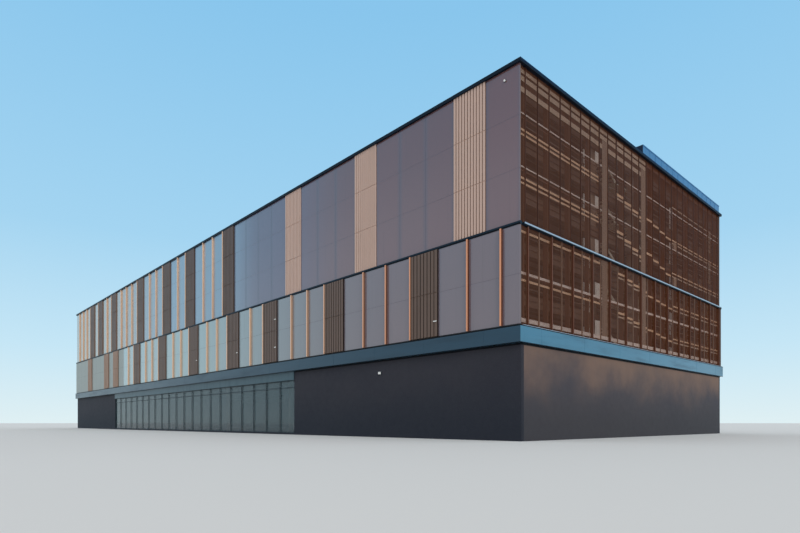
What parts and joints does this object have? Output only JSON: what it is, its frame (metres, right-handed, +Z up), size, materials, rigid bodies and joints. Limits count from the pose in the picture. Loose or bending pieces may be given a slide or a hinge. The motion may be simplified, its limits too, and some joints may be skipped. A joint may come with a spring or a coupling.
{
  "type": "multi storey car park, 1:10 scale model",
  "caption": "Long flat-roofed multi storey car park over a shop floor, with panelled long sides and slatted metal screens on the ends.",
  "frame": {"origin": "centre of the building's footprint, at ground level", "axes": "+X along the long front towards the end with the stair, +Y from the front into the building, +Z up"},
  "size_m": [10.024, 3.44, 2.22],
  "materials": {
    "shop_floor": "honed",
    "dark_plaster": "fine render, matt",
    "dark_frame": "satin",
    "window_glass": "clear",
    "blue_sheet": "satin",
    "flashing_metal": "satin",
    "coping_metal": "satin",
    "light_steel": "satin",
    "concrete": "troweled",
    "lining_sheet": "satin",
    "mauve_panel": "metallic satin",
    "tan_panel": "matt",
    "brown_panel": "matt",
    "copper_metal": "metallic",
    "bronze_metal": "metallic",
    "red_bronze": "metallic",
    "galvanised_steel": "dull",
    "light_wall": "painted",
    "white_door": "satin",
    "light_blue_sheet": "satin"
  },
  "bodies": {
    "root": {"ground_floor": "shop_floor", "front_base_wall": "dark_plaster", "back_base_wall": "dark_plaster", "right_base_wall": "dark_plaster", "left_base_wall": "dark_plaster", "shopfront_frame": "dark_frame", "shopfront_glass": "window_glass", "shopfront_header": "blue_sheet", "fascia_band": "blue_sheet", "mid_band": "flashing_metal", "parapet_coping": "coping_metal", "columns": "light_steel", "deck_beams": "light_steel", "deck_1": "concrete", "deck_2": "concrete", "deck_3": "concrete", "deck_4": "concrete", "deck_5": "concrete", "roof_deck": "concrete", "front_wall_lining": "lining_sheet", "back_wall_lining": "lining_sheet", "front_upper_panels": "mauve_panel", "back_upper_panels": "mauve_panel", "front_lower_panels": "mauve_panel", "back_lower_panels": "mauve_panel", "front_tan_panels": "tan_panel", "back_tan_panels": "tan_panel", "front_brown_panels": "brown_panel", "back_brown_panels": "brown_panel", "front_copper_fins": "copper_metal", "back_copper_fins": "copper_metal", "screen_posts": "bronze_metal", "screen_rails": "bronze_metal", "screen_fins": "red_bronze", "right_screen_slats": "bronze_metal", "left_screen_slats": "bronze_metal", "right_guard_rails": "galvanised_steel", "left_guard_rails": "galvanised_steel", "stair_stringers": "galvanised_steel", "stair_treads": "galvanised_steel", "stair_landings": "galvanised_steel", "core_piers": "light_wall", "service_doors": "white_door", "rooftop_house": "light_blue_sheet"}
  },
  "joints": []
}
